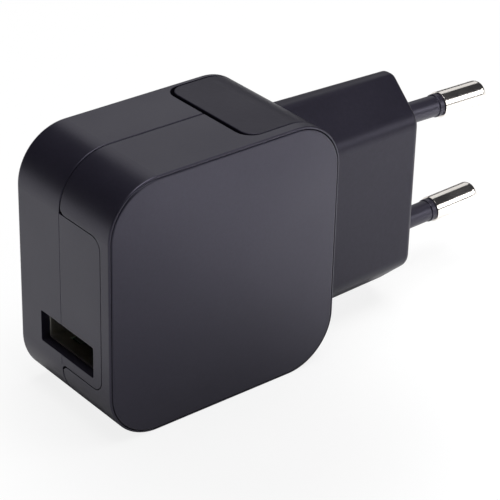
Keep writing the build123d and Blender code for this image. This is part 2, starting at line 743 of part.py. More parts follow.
for name, (x, z, diameter, height, pitch) in capacitors.items():
    # Aluminium can with a rolled groove near its base and a dished top.
    with BuildPart() as capacitor:
        with BuildSketch(on_board(x, z, fit_gap)):
            Circle(diameter / 2)
        extrude(amount=height)
        fillet(capacitor.faces().sort_by(Axis.Y)[0].edges(), can_edge_radius)
        with BuildSketch(on_board(x, z, can_groove_level)):
            Circle(diameter / 2)
            Circle(diameter / 2 - can_groove_depth, mode=Mode.SUBTRACT)
        extrude(amount=can_groove_width, mode=Mode.SUBTRACT)
        with BuildSketch(Plane(origin=(0, lead_end_y, 0), x_dir=(1, 0, 0), z_dir=(0, -1, 0))):
            with Locations(*lead_pair(x, z, pitch)):
                Circle(lead_diameter / 2)
        extrude(amount=lead_reach + sink)
    save(capacitor, name)

# Filter choke: a drum core with a winding between its flanges.
choke_x, choke_z = choke_place
with BuildPart() as choke:
    with BuildSketch(on_board(choke_x, choke_z, fit_gap)):
        Circle(choke_winding_diameter / 2)
    extrude(amount=choke_height)
    for level in (fit_gap, fit_gap + choke_height - choke_flange):
        with BuildSketch(on_board(choke_x, choke_z, level)):
            Circle(choke_drum_diameter / 2)
        extrude(amount=choke_flange)
    with BuildSketch(Plane(origin=(0, lead_end_y, 0), x_dir=(1, 0, 0), z_dir=(0, -1, 0))):
        with Locations(*lead_pair(*choke_place, choke_pitch)):
            Circle(lead_diameter / 2)
    extrude(amount=lead_reach + sink)
save(choke, "filter_choke")

# Fuse resistor: a lacquered barrel on a wire that is bent down to the board at both ends.
fuse_x, fuse_z = fuse_place
with BuildPart() as fuse:
    wire_y = board_front_y - fuse_height
    fuse_points = [
        (fuse_x - fuse_span / 2, lead_end_y, fuse_z),
        (fuse_x - fuse_span / 2, wire_y, fuse_z),
        (fuse_x + fuse_span / 2, wire_y, fuse_z),
        (fuse_x + fuse_span / 2, lead_end_y, fuse_z),
    ]
    with BuildLine() as fuse_wire:
        FilletPolyline(*fuse_points, radius=fuse_bend)
    with BuildSketch(Plane(origin=fuse_points[0], x_dir=(1, 0, 0), z_dir=(0, -1, 0))):
        Circle(lead_diameter / 2)
    sweep(path=fuse_wire.line)
    with BuildSketch(facing_right(fuse_x - fuse_barrel / 2, wire_y, fuse_z)):
        Circle(fuse_diameter / 2)
    extrude(amount=fuse_barrel)
    barrel_ends = fuse.edges().filter_by(lambda edge: abs(edge.length - pi * fuse_diameter) < 0.01)
    fillet(barrel_ends, fuse_end_radius)
save(fuse, "fuse_resistor")

# Safety capacitor: a lacquered disc standing on edge.
safety_x, safety_z = safety_place
with BuildPart() as safety_capacitor:
    disc_centre_y = board_front_y - safety_diameter / 2 - safety_stand
    disc_x = safety_x - safety_thickness / 2
    with BuildSketch(facing_right(disc_x, disc_centre_y, safety_z)):
        Circle(safety_diameter / 2)
    extrude(amount=safety_thickness)
    fillet(safety_capacitor.edges(), safety_edge_radius)
    with BuildSketch(Plane(origin=(0, lead_end_y, 0), x_dir=(1, 0, 0), z_dir=(0, -1, 0))):
        with Locations(*lead_pair(*safety_place, safety_pitch, along_x=False)):
            Circle(lead_diameter / 2)
    extrude(amount=lead_reach + safety_diameter / 2)
save(safety_capacitor, "safety_capacitor")


chip_stand = 0.2
leg_width = 0.5
leg_length = 1.0
leg_thickness = 0.6
leg_reach = 0.3


def chip(place, length, width, height, legs, leg_pitch):
    """A moulded package lying on the board, with a row of flat legs on each long side."""
    x, z = place
    with BuildPart() as package:
        with BuildSketch(on_board(x, z, chip_stand)):
            Rectangle(length, width)
        extrude(amount=height)
        with BuildSketch(on_board(x, z)):
            with GridLocations(leg_pitch, width + 2 * leg_reach, legs, 2):
                Rectangle(leg_width, leg_length)
        extrude(amount=leg_thickness)
    return package


save(chip(bridge_place, 4.7, 3.8, 2.4, 2, 2.5), "bridge_rectifier")
save(chip(controller_place, 4.4, 3.0, 1.5, 4, 1.1), "switching_controller")
save(chip(optocoupler_place, 4.4, 3.4, 3.2, 2, 2.5), "optocoupler")
save(chip(diode_place, 3.4, 2.6, 2.0, 1, 0), "output_diode")

# Main board, parallel to the front face, drilled for every lead.
board_upper_z = body_height / 2 - recess_depth - dock_wall - board_margin
board_lower_z = -body_height / 2 + wall + board_margin
with BuildPart() as main_board:
    board_centre_x = (board_left_x + board_right_x) / 2
    board_width = board_right_x - board_left_x
    with BuildSketch(Plane(origin=(board_centre_x, board_rear_y, 0), x_dir=(1, 0, 0), z_dir=(0, -1, 0))):
        with Locations((0, (board_upper_z + board_lower_z) / 2)):
            RectangleRounded(board_width, board_upper_z - board_lower_z, board_corner_radius)
    extrude(amount=board_thickness)
    with BuildSketch(Plane(origin=(0, board_rear_y, 0), x_dir=(1, 0, 0), z_dir=(0, -1, 0))):
        with Locations(*lead_places):
            Circle(lead_diameter / 2 + lead_fit)
        with Locations((transformer_x, transformer_z)):
            with GridLocations(2 * foot_place, bobbin_pin_pitch, 2, 3):
                Circle(lead_diameter / 2 + lead_fit)
    extrude(amount=board_thickness, mode=Mode.SUBTRACT)
save(main_board, "main_board")

# ---------------------------------------------------------------- USB socket on its own board
usb_middle_x = (usb_front_x + usb_back_x) / 2
usb_board_left = flange_x + flange_thickness + board_clearance
usb_leg_x = usb_middle_x + usb_leg_offset
usb_tail_x = usb_back_x - usb_rear_block_length / 2
finger_x = usb_front_x + finger_setback
contact_start = usb_front_x + usb_tongue_setback + usb_contact_setback
tongue_z = usb_z + usb_tongue_lift
contact_places = [usb_y + usb_contact_pitch * (index - 1.5) for index in range(4)]

with BuildPart() as usb_shell:
    with BuildSketch(facing_right(usb_front_x, usb_y, usb_z)):
        for inset, mode in ((0, Mode.ADD), (usb_sheet, Mode.SUBTRACT)):
            RectangleRounded(
                usb_shell_width - 2 * inset,
                usb_shell_height - 2 * inset,
                usb_shell_radius - inset,
                mode=mode,
            )
    extrude(amount=usb_shell_length)
    # Spring fingers, each cut free on three sides.
    with BuildSketch(Plane.XY.offset(usb_z - usb_shell_height)) as finger_cuts:
        with Locations((finger_x + finger_length / 2, usb_y)):
            with GridLocations(0, finger_pitch, 1, 2):
                Rectangle(finger_length, finger_width + 2 * finger_slot)
        with Locations((finger_x + (finger_length + finger_slot) / 2, usb_y)):
            with GridLocations(0, finger_pitch, 1, 2):
                Rectangle(finger_length - finger_slot, finger_width, mode=Mode.SUBTRACT)
    extrude(amount=2 * usb_shell_height, mode=Mode.SUBTRACT)
    # Notch in the floor for the contacts' tails.
    with BuildSketch(Plane.XY.offset(usb_z)):
        with Locations((usb_back_x - usb_rear_block_length / 2, usb_y)):
            Rectangle(usb_rear_block_length, 4 * usb_contact_pitch)
    extrude(amount=-usb_shell_height, mode=Mode.SUBTRACT)
    # Two legs down through the board.
    with BuildSketch(Plane.XY.offset(usb_z)):
        leg_offset = usb_shell_width / 2 - usb_sheet / 2
        with Locations((usb_leg_x, usb_y + leg_offset), (usb_leg_x, usb_y - leg_offset)):
            Rectangle(usb_leg_width, usb_sheet)
    extrude(amount=-(usb_shell_height / 2 + usb_leg_reach))
save(usb_shell, "usb_shell")

with BuildPart() as usb_insulator:
    block_width = usb_shell_width - 2 * usb_sheet - 2 * fit_gap
    block_height = usb_shell_height - 2 * usb_sheet - 2 * fit_gap
    with BuildSketch(facing_right(usb_back_x - usb_rear_block_length, usb_y, usb_z)):
        RectangleRounded(block_width, block_height, usb_sheet)
    extrude(amount=usb_rear_block_length)
    tongue_length = usb_shell_length - usb_tongue_setback - usb_rear_block_length
    with BuildSketch(facing_right(usb_front_x + usb_tongue_setback, usb_y, tongue_z)):
        Rectangle(usb_tongue_width, usb_tongue_thickness)
    extrude(amount=tongue_length)
    chamfer(usb_insulator.faces().sort_by(Axis.X)[0].edges().filter_by(Axis.Y), usb_tongue_chamfer)
    # Passages for the four contacts along the tongue and down to the board.
    tongue_under_z = tongue_z - usb_tongue_thickness / 2
    contact_cut = usb_contact_thickness + fit_gap
    with BuildSketch(Plane.XY.offset(tongue_under_z - fit_gap)):
        for y in contact_places:
            with Locations(((contact_start + usb_tail_x + sink) / 2, y)):
                Rectangle(usb_tail_x + sink - contact_start, usb_contact_width + 2 * fit_gap)
    extrude(amount=contact_cut + fit_gap, mode=Mode.SUBTRACT)
    with BuildSketch(Plane.XY.offset(tongue_under_z + contact_cut)):
        for y in contact_places:
            with Locations((usb_tail_x, y)):
                Rectangle(usb_contact_thickness + 4 * fit_gap, usb_contact_width + 2 * fit_gap)
    extrude(amount=-usb_shell_height, mode=Mode.SUBTRACT)
save(usb_insulator, "usb_insulator")

with BuildPart() as usb_contacts:
    for y in contact_places:
        contact_length = usb_tail_x + usb_contact_thickness / 2 - contact_start - fit_gap
        with BuildSketch(Plane.XY.offset(tongue_under_z)):
            with Locations((contact_start + fit_gap + contact_length / 2, y)):
                Rectangle(contact_length, usb_contact_width)
        extrude(amount=usb_contact_thickness)
        with BuildSketch(Plane.XY.offset(tongue_under_z)):
            with Locations((usb_tail_x, y)):
                Rectangle(usb_contact_thickness, usb_contact_width)
        tail_reach = tongue_under_z - usb_board_z + usb_leg_reach
        extrude(amount=-tail_reach)
save(usb_contacts, "usb_contacts")

with BuildPart() as usb_board:
    with BuildSketch(Plane.XY.offset(usb_board_z)):
        usb_board_right = usb_back_x + board_clearance
        usb_board_front = bulkhead_rear_y + card_clearance
        with Locations(((usb_board_left + usb_board_right) / 2, (usb_board_front + board_front_y) / 2)):
            Rectangle(usb_board_right - usb_board_left, board_front_y - usb_board_front)
        with Locations((usb_leg_x, usb_y + leg_offset), (usb_leg_x, usb_y - leg_offset)):
            Rectangle(usb_leg_width + 4 * fit_gap, usb_sheet + 4 * fit_gap, mode=Mode.SUBTRACT)
        for y in contact_places:
            with Locations((usb_tail_x, y)):
                slot_width = usb_contact_thickness + 4 * fit_gap
                Rectangle(slot_width, usb_contact_width + 4 * fit_gap, mode=Mode.SUBTRACT)
    extrude(amount=-board_thickness)
save(usb_board, "usb_board")

# Insulating card between the parts and the front wall, pierced for the pillars.
with BuildPart() as insulating_card:
    extrude(outline(bulkhead_rear_y + fit_gap + card_thickness, wall + card_margin), amount=card_thickness)
    for x, z in pillar_places:
        with BuildSketch(Plane(origin=(x, bulkhead_rear_y + overcut, z), x_dir=(1, 0, 0), z_dir=(0, -1, 0))):
            Circle(pillar_diameter / 2 + card_hole_gap)
        extrude(amount=2 * overcut, mode=Mode.SUBTRACT)
save(insulating_card, "insulating_card")
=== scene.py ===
# %% [markdown]
# # A wall charger with a lift-off plug head
# This notebook dresses a finished CAD model for its portrait. Every solid arrives at its real size
# and place, so nothing here moves or scales one. The lesson is about finish: near-black moulded
# plastic has hardly any colour of its own, and it looks grey because it reflects pale surroundings.
# So most of the work is in the lights, the grain of the mould and the edges.

# %% Load the frame
import json
import math

import bpy
from mathutils import Matrix, Vector


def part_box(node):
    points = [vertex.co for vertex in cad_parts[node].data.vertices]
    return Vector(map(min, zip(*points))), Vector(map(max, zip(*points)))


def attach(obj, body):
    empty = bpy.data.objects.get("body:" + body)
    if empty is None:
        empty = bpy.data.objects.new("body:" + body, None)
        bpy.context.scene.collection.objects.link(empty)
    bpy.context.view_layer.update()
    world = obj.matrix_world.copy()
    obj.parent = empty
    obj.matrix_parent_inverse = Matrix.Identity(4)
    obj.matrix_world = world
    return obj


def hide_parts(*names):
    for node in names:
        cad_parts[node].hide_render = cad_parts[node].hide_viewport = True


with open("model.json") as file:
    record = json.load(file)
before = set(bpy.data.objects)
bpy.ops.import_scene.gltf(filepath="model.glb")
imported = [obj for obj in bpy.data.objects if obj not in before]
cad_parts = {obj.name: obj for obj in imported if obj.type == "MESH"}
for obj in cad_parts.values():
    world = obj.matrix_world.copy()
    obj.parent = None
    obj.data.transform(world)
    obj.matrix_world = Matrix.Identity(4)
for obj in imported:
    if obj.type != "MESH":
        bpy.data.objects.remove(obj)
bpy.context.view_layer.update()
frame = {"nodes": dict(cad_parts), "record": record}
nodes = frame["nodes"]
MM = 0.001

# %% [markdown]
# ## Camera
# Catalogue pictures use a long lens from well back, which keeps parallel edges almost parallel.
# A camera could be placed by hand. Here it is placed by a direction from the object, a distance
# and a small roll, because those are the numbers that one would read off a tripod.

# %% Camera
CAMERA_TARGET = Vector((-31.39, -6.3, 0.26)) * MM
CAMERA_AZIMUTH = math.radians(-39.5)
CAMERA_ELEVATION = math.radians(29.33)
CAMERA_ROLL = math.radians(1.55)
CAMERA_DISTANCE = 296.3 * MM
LENS_MM = 151.0
SENSOR_MM = 36.0
CLIP_START = 10 * MM


def direction(azimuth, elevation):
    """Unit vector: azimuth 0 points to the front, positive turns to the right, both in radians."""
    flat = math.cos(elevation)
    return Vector((math.sin(azimuth) * flat, -math.cos(azimuth) * flat, math.sin(elevation)))


def aim_camera():
    """Add the camera, looking at the target and rolled a little about its own axis."""
    away = direction(CAMERA_AZIMUTH, CAMERA_ELEVATION)
    turn = away.to_track_quat("Z", "Y").to_matrix() @ Matrix.Rotation(CAMERA_ROLL, 3, "Z")
    data = bpy.data.cameras.new("camera")
    data.lens = LENS_MM
    data.sensor_width = SENSOR_MM
    data.clip_start = CLIP_START
    camera = bpy.data.objects.new("camera", data)
    place = CAMERA_TARGET + away * CAMERA_DISTANCE
    camera.matrix_world = Matrix.Translation(place) @ turn.to_4x4()
    bpy.context.scene.collection.objects.link(camera)
    bpy.context.scene.camera = camera
    return camera


camera = aim_camera()
bpy.context.scene.view_settings.view_transform = "Standard"
print("camera at", [round(c / MM) for c in camera.location], "mm")

# %% [markdown]
# ## Lights
# A black object is lit by what it mirrors. The flat top mirrors a soft panel behind and to the right,
# the rounded upper left corner mirrors the dark gap between that panel and the pale table, and the
# plug block's shoulder mirrors a low strip on the right. Each panel is an area light given by its
# direction, size and radiance, so that making it larger doesn't make its mirror image brighter.
# A small lamp with a snoot then lays a pool of light on the table, in front and to the right, and
# the front plate mirrors that pool in its upper part.

# %% Lights
LIGHTS = {
    # name: azimuth and elevation in degrees, distance, width and height in metres, radiance
    "overhead": (20, 84, 0.90, 0.70, 0.70, 6.5),
    "back_panel": (140, 31, 0.80, 0.55, 0.42, 0.84),
    "low_strip": (50, 17, 0.70, 0.50, 0.26, 3.9),
}
POOL_PLACE = Vector((40, -95, 130)) * MM
POOL_DIAMETER = 100 * MM
POOL_SPREAD = math.radians(70)
POOL_RADIANCE = 3.4
WORLD_COLOR = (0.03, 0.03, 0.034, 1)


def add_light(name, azimuth, elevation, distance, width, height, radiance):
    """A rectangular soft light that faces the object; its power is radiance times pi times area."""
    away = direction(math.radians(azimuth), math.radians(elevation))
    data = bpy.data.lights.new(name, "AREA")
    data.shape = "RECTANGLE"
    data.size = width
    data.size_y = height
    data.energy = radiance * width * height * math.pi
    light = bpy.data.objects.new(name, data)
    turn = away.to_track_quat("Z", "Y").to_matrix().to_4x4()
    light.matrix_world = Matrix.Translation(CAMERA_TARGET + away * distance) @ turn
    bpy.context.scene.collection.objects.link(light)


def add_pool():
    """A snooted light above the table that brightens it in front and to the right of the object."""
    data = bpy.data.lights.new("table_pool", "AREA")
    data.shape = "DISK"
    data.size = POOL_DIAMETER
    data.spread = POOL_SPREAD
    area = math.pi * (POOL_DIAMETER / 2) ** 2
    data.energy = POOL_RADIANCE * area * math.pi
    light = bpy.data.objects.new("table_pool", data)
    light.location = POOL_PLACE
    bpy.context.scene.collection.objects.link(light)


for light_name, light_values in LIGHTS.items():
    add_light(light_name, *light_values)
add_pool()
world = bpy.data.worlds.new("studio")
world.use_nodes = True
world.node_tree.nodes["Background"].inputs["Color"].default_value = WORLD_COLOR
bpy.context.scene.world = world
print("lights:", ", ".join(LIGHTS), "and table_pool")

# %% [markdown]
# ## Building materials from nodes
# Node trees can be drawn by hand in the editor. In a script they stay readable with two helpers:
# one adds a node and fills its inputs, the other makes a Principled material. An input takes either
# a plain value or another node's output socket.

# %% Node helpers
def add_node(tree, kind, inputs=None, **settings):
    """Add a node, apply its settings, then fill its inputs with values or output sockets."""
    node = tree.nodes.new(kind)
    for key, value in settings.items():
        setattr(node, key, value)
    for key, value in (inputs or {}).items():
        if isinstance(value, bpy.types.NodeSocket):
            tree.links.new(value, node.inputs[key])
        else:
            node.inputs[key].default_value = value
    return node


def math_node(tree, operation, *values, clamp=False):
    """Output of a Math node on the given values or sockets."""
    node = add_node(tree, "ShaderNodeMath", dict(enumerate(values)), operation=operation)
    node.use_clamp = clamp
    return node.outputs[0]


def new_material(name, **shader_inputs):
    """A material whose Principled shader gets the given constant inputs."""
    material = bpy.data.materials.get(name) or bpy.data.materials.new(name)
    material.use_nodes = True
    tree = material.node_tree
    tree.nodes.clear()
    shader = tree.nodes.new("ShaderNodeBsdfPrincipled")
    output = tree.nodes.new("ShaderNodeOutputMaterial")
    tree.links.new(shader.outputs[0], output.inputs["Surface"])
    for key, value in shader_inputs.items():
        shader.inputs[key.replace("_", " ")].default_value = value
    return material, tree, shader


def new_group(name, inputs, outputs):
    """A shader node group with named float inputs and typed outputs, and its two end nodes."""
    tree = bpy.data.node_groups.new(name, "ShaderNodeTree")
    for key, value in inputs.items():
        socket = tree.interface.new_socket(key, in_out="INPUT", socket_type="NodeSocketFloat")
        socket.default_value = value
    for key, kind in outputs.items():
        tree.interface.new_socket(key, in_out="OUTPUT", socket_type=kind)
    return tree, tree.nodes.new("NodeGroupInput").outputs, tree.nodes.new("NodeGroupOutput").inputs


def use_group(tree, group, **values):
    """Place a node group in a material and set its inputs."""
    inputs = {key.replace("_", " "): value for key, value in values.items()}
    return add_node(tree, "ShaderNodeGroup", inputs, node_tree=group).outputs


# %% [markdown]
# ## Table
# The table is a plain pale sheet, with painted shade: its tone darkens, with a soft edge, towards a
# spot just in front of the object, so that the object's front mirrors a dark table low down and fades
# to the bright table higher up. What the lens itself sees of the sheet is lifted towards white, which
# hides that painted shade and leaves only a faint shadow.

# %% Floor
FLOOR_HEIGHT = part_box("rear_shell")[0][2]
FLOOR_SIZE = 4.0
FLOOR_LIFT = 0.85
FIBRES_PER_METRE = 900.0
PAPER_DARK, PAPER_PALE = 0.88, 0.92
# The painted shade's tone as a share of the table's, and how far from its centre its soft edge starts and
# ends.
PAINTED_SHADE_TONE = 0.45
PAINTED_SHADE_NEAR = 6 * MM
PAINTED_SHADE_FAR = 50 * MM
PAINTED_SHADE_CENTRE = (-42 * MM, -22 * MM, FLOOR_HEIGHT)


def paper_and_painted_shade(tree):
    """Pale paper, darkened smoothly towards the spot in front of the object as painted shade."""
    place = add_node(tree, "ShaderNodeTexCoord").outputs["Object"]
    fibre_in = {"Vector": place, "Scale": FIBRES_PER_METRE}
    fibre = add_node(tree, "ShaderNodeTexNoise", fibre_in).outputs["Fac"]
    paper_in = {"Value": fibre, "To Min": PAPER_DARK, "To Max": PAPER_PALE}
    paper = add_node(tree, "ShaderNodeMapRange", paper_in).outputs[0]
    # painted shade: the table's tone falls towards a spot just in front of the object
    offset = {0: place, 1: PAINTED_SHADE_CENTRE}
    away = add_node(tree, "ShaderNodeVectorMath", offset, operation="DISTANCE").outputs["Value"]
    painted_shade_in = {"Value": away, "From Min": PAINTED_SHADE_NEAR, "From Max": PAINTED_SHADE_FAR, "To Min": PAINTED_SHADE_TONE}
    painted_shade = add_node(tree, "ShaderNodeMapRange", painted_shade_in, interpolation_type="SMOOTHSTEP").outputs[0]
    return math_node(tree, "MULTIPLY", paper, painted_shade)


def make_table_sheet():
    """Matt paper; what the lens sees of it directly is lifted towards white."""
    material, tree, shader = new_material("table_sheet", Roughness=0.9, Specular_IOR_Level=0.0)
    tree.links.new(paper_and_painted_shade(tree), shader.inputs["Base Color"])
    lift = add_node(tree, "ShaderNodeEmission", {"Color": (1, 1, 1, 1), "Strength": 1.0})
    seen = add_node(tree, "ShaderNodeLightPath").outputs["Is Camera Ray"]
    blend = {0: math_node(tree, "MULTIPLY", seen, FLOOR_LIFT), 1: shader.outputs[0], 2: lift.outputs[0]}
    mix = add_node(tree, "ShaderNodeMixShader", blend)
    tree.links.new(mix.outputs[0], tree.nodes["Material Output"].inputs["Surface"])
    return material


def add_floor(height):
    """A large square sheet at the given height."""
    half = FLOOR_SIZE / 2
    corners = [(x * half, y * half, height) for x, y in ((-1, -1), (1, -1), (1, 1), (-1, 1))]
    data = bpy.data.meshes.new("floor")
    data.from_pydata(corners, [], [(0, 1, 2, 3)])
    data.materials.append(make_table_sheet())
    floor = bpy.data.objects.new("floor", data)
    bpy.context.scene.collection.objects.link(floor)


add_floor(FLOOR_HEIGHT)
print("floor at", round(FLOOR_HEIGHT / MM, 2), "mm")

# %% [markdown]
# ## Shared effects
# Three effects turn up on nearly every part, so each is a node group that is built once.
#
# *Mould grain*: the steel mould is spark eroded, which leaves a skin of tiny pits about a tenth of a
# millimetre wide. An image could carry it, but noise on Object coordinates has the same size on every
# part and needs no unwrapping.
#
# *Soft edges*: no moulded edge is perfectly sharp. The Bevel node rounds the shading normal over a
# short radius, and where that normal leaves the true one there is an edge, which gives a mask too.
#
# *Handling*: a slow drift in gloss, as on any surface that has been picked up.

# %% Effect groups
FLOAT = "NodeSocketFloat"
VECTOR = "NodeSocketVector"
# Large pits are this share as densely packed as small ones.
LARGE_PIT_DENSITY = 0.31
# The two noises add up to about 1, and these ends of their sum become 0 and 1 in the mask.
GRAIN_LOW, GRAIN_HIGH = 0.75, 1.25
BEVEL_SAMPLES = 6
# How fast the edge mask grows as the rounded normal leaves the true one.
EDGE_GAIN = 6.0
# The part of the noise's range that the drift in gloss makes use of.
DRIFT_LOW, DRIFT_HIGH = 0.3, 0.7


def make_mould_grain():
    """Pits of the given size in metres: the surface's height, and a mask that is 0 in them."""
    outputs = {"Height": FLOAT, "Mask": FLOAT}
    tree, given, result = new_group("mould_grain", {"Pit Size": 0.15 * MM}, outputs)
    place = add_node(tree, "ShaderNodeTexCoord").outputs["Object"]
    scale = math_node(tree, "DIVIDE", 1.0, given["Pit Size"])
    fine = add_node(tree, "ShaderNodeTexNoise", {"Vector": place, "Scale": scale, "Detail": 2.0})
    large_scale = math_node(tree, "MULTIPLY", scale, LARGE_PIT_DENSITY)
    large = add_node(tree, "ShaderNodeTexNoise", {"Vector": place, "Scale": large_scale, "Detail": 1.0})
    both = math_node(tree, "ADD", fine.outputs["Fac"], large.outputs["Fac"])
    tree.links.new(math_node(tree, "MULTIPLY", both, 0.5), result["Height"])
    span = {"Value": both, "From Min": GRAIN_LOW, "From Max": GRAIN_HIGH}
    tree.links.new(add_node(tree, "ShaderNodeMapRange", span).outputs[0], result["Mask"])
    return tree


def make_soft_edges():
    """A normal rounded over the given radius in metres, and a mask that is 1 on edges."""
    tree, given, result = new_group("soft_edges", {"Radius": 0.1 * MM}, {"Normal": VECTOR, "Mask": FLOAT})
    bevel = add_node(tree, "ShaderNodeBevel", {"Radius": given["Radius"]}, samples=BEVEL_SAMPLES)
    true_normal = add_node(tree, "ShaderNodeNewGeometry").outputs["Normal"]
    pair = {0: bevel.outputs[0], 1: true_normal}
    agreement = add_node(tree, "ShaderNodeVectorMath", pair, operation="DOT_PRODUCT").outputs["Value"]
    turn = math_node(tree, "SUBTRACT", 1.0, agreement)
    tree.links.new(bevel.outputs[0], result["Normal"])
    tree.links.new(math_node(tree, "MULTIPLY", turn, EDGE_GAIN, clamp=True), result["Mask"])
    return tree


def make_handling():
    """A slow drift between the two given values, over patches of the given size in metres."""
    inputs = {"Patch Size": 12 * MM, "Low": 0.4, "High": 0.5}
    tree, given, result = new_group("handling", inputs, {"Value": FLOAT})
    place = add_node(tree, "ShaderNodeTexCoord").outputs["Object"]
    scale = math_node(tree, "DIVIDE", 1.0, given["Patch Size"])
    noise = add_node(tree, "ShaderNodeTexNoise", {"Vector": place, "Scale": scale, "Detail": 3.0})
    span = {"Value": noise.outputs["Fac"], "From Min": DRIFT_LOW, "From Max": DRIFT_HIGH}
    drift = add_node(tree, "ShaderNodeMapRange", span)
    tree.links.new(given["Low"], drift.inputs["To Min"])
    tree.links.new(given["High"], drift.inputs["To Max"])
    tree.links.new(drift.outputs[0], result["Value"])
    return tree


mould_grain = make_mould_grain()
soft_edges = make_soft_edges()
handling = make_handling()
print("effects:", mould_grain.name, soft_edges.name, handling.name)

# %% [markdown]
# ## Moulded plastic
# Every black part is the same recipe with other numbers: a base that is nearly black, a reflection
# tinted slightly violet, grain as a bump, and smoother edges painted lighter, partly as wear and partly
# as a painted highlight. The tint of the reflection is the same all over, so it sits on the shader
# itself.

# %% Plastics
VIOLET_SHEEN = (0.80, 0.765, 1.0, 1)
# Gains on the base colour: low in the pits, high between them, and on edges,
# where the lighter colour is partly wear and partly a painted highlight.
PIT_GAIN, CREST_GAIN, WEAR_AND_HIGHLIGHT_GAIN = 0.85, 1.15, 2.2
# Changes of roughness: handling takes it this far either way, and rubbing polishes edges.
PLASTIC_DRIFT = 0.03
EDGE_POLISH = -0.08


def shade(color, gain):
    """The colour multiplied by a gain, with full alpha."""
    return (*(channel * gain for channel in color), 1)


def grain_wear_and_highlight(tree, shader, color, roughness, pit, depth, edge):
    """Wire base colour, roughness and normal of a moulded surface from the shared effects."""
    edges = use_group(tree, soft_edges, Radius=edge)
    grain = use_group(tree, mould_grain, Pit_Size=pit)
    limits = {"Low": roughness - PLASTIC_DRIFT, "High": roughness + PLASTIC_DRIFT}
    patches = use_group(tree, handling, **limits)
    tint = add_node(tree, "ShaderNodeMix", {"Factor": grain["Mask"]}, data_type="RGBA")
    tint.inputs["A"].default_value = shade(color, PIT_GAIN)
    tint.inputs["B"].default_value = shade(color, CREST_GAIN)
    # edges painted lighter: partly wear, partly a painted highlight
    wear_and_highlight = add_node(tree, "ShaderNodeMix", {"Factor": edges["Mask"]}, data_type="RGBA")
    tree.links.new(tint.outputs["Result"], wear_and_highlight.inputs["A"])
    wear_and_highlight.inputs["B"].default_value = shade(color, WEAR_AND_HIGHLIGHT_GAIN)
    tree.links.new(wear_and_highlight.outputs["Result"], shader.inputs["Base Color"])
    polish = math_node(tree, "MULTIPLY", edges["Mask"], EDGE_POLISH)
    tree.links.new(math_node(tree, "ADD", patches["Value"], polish), shader.inputs["Roughness"])
    bump = {"Height": grain["Height"], "Normal": edges["Normal"], "Distance": depth, "Strength": 1.0}
    tree.links.new(add_node(tree, "ShaderNodeBump", bump).outputs[0], shader.inputs["Normal"])


def make_plastic(name, color, roughness, pit=0.14, depth=0.004, edge=0.1, **shader_inputs):
    """Grained black plastic. Pit size, pit depth and edge radius are in millimetres."""
    constants = {"IOR": 1.5, "Specular_Tint": VIOLET_SHEEN, **shader_inputs}
    material, tree, shader = new_material(name, **constants)
    grain_wear_and_highlight(tree, shader, color, roughness, pit * MM, depth * MM, edge * MM)
    return material


BLACK = (0.0090, 0.0080, 0.0135)
plastics = [
    make_plastic("body_plastic", BLACK, 0.37),
    make_plastic("face_plastic", BLACK, 0.42, pit=0.16, depth=0.009),
    make_plastic(
        "plug_plastic", BLACK, 0.40, pit=0.2, depth=0.013, edge=0.15, IOR=1.39, Specular_IOR_Level=0.37
    ),
    make_plastic("sleeve_plastic", BLACK, 0.36, pit=0.18, depth=0.006),
    make_plastic("inner_plastic", (0.02, 0.02, 0.021), 0.5),
    make_plastic("socket_plastic", (0.012, 0.011, 0.010), 0.45, pit=0.1),
    make_plastic("package_epoxy", (0.018, 0.018, 0.02), 0.6, pit=0.05),
]
print("plastics:", ", ".join(material.name for material in plastics))

# %% [markdown]
# ## Metals
# The pins are turned brass with a bright nickel plate. The tool leaves fine rings round each pin, so
# the noise is squeezed along the pin's length. The socket's shell is pressed from plated sheet, with
# a faint brushing along it, and the contacts are stamped from a yellower alloy.

# %% Metals
# Gains on the base colour, low in the tool marks and high between them.
MARK_GAIN, BRIGHT_GAIN = 0.94, 1.04
# Handling polishes metal by the first amount of roughness and dulls it by the second.
METAL_POLISH, METAL_DULLING = 0.02, 0.05
METAL_PATCH = 4 * MM


def make_metal(name, color, roughness, squeeze, depth, edge=0.05):
    """Plated metal with fine tool marks; squeeze packs the marks along each axis, per millimetre."""
    material, tree, shader = new_material(name, Metallic=1.0)
    edges = use_group(tree, soft_edges, Radius=edge * MM)
    place = add_node(tree, "ShaderNodeTexCoord").outputs["Object"]
    packed = add_node(tree, "ShaderNodeMapping", {"Vector": place}, vector_type="POINT")
    packed.inputs["Scale"].default_value = [density / MM for density in squeeze]
    marks_in = {"Vector": packed.outputs[0], "Scale": 1.0, "Detail": 3.0}
    marks = add_node(tree, "ShaderNodeTexNoise", marks_in).outputs["Fac"]
    tint = add_node(tree, "ShaderNodeMix", {"Factor": marks}, data_type="RGBA")
    tint.inputs["A"].default_value = shade(color, MARK_GAIN)
    tint.inputs["B"].default_value = shade(color, BRIGHT_GAIN)
    tree.links.new(tint.outputs["Result"], shader.inputs["Base Color"])
    limits = {"Low": roughness - METAL_POLISH, "High": roughness + METAL_DULLING}
    patches = use_group(tree, handling, Patch_Size=METAL_PATCH, **limits)
    tree.links.new(patches["Value"], shader.inputs["Roughness"])
    bump = {"Height": marks, "Normal": edges["Normal"], "Distance": depth * MM, "Strength": 1.0}
    tree.links.new(add_node(tree, "ShaderNodeBump", bump).outputs[0], shader.inputs["Normal"])
    return material


metals = [
    make_metal("pin_metal", (0.86, 0.82, 0.77), 0.13, squeeze=(14, 1.5, 1.5), depth=0.0006),
    make_metal("socket_steel", (0.80, 0.77, 0.70), 0.30, squeeze=(1.5, 12, 12), depth=0.0008),
    make_metal("contact_metal", (0.90, 0.70, 0.38), 0.24, squeeze=(2, 10, 2), depth=0.0008),
]
print("metals:", ", ".join(material.name for material in metals))

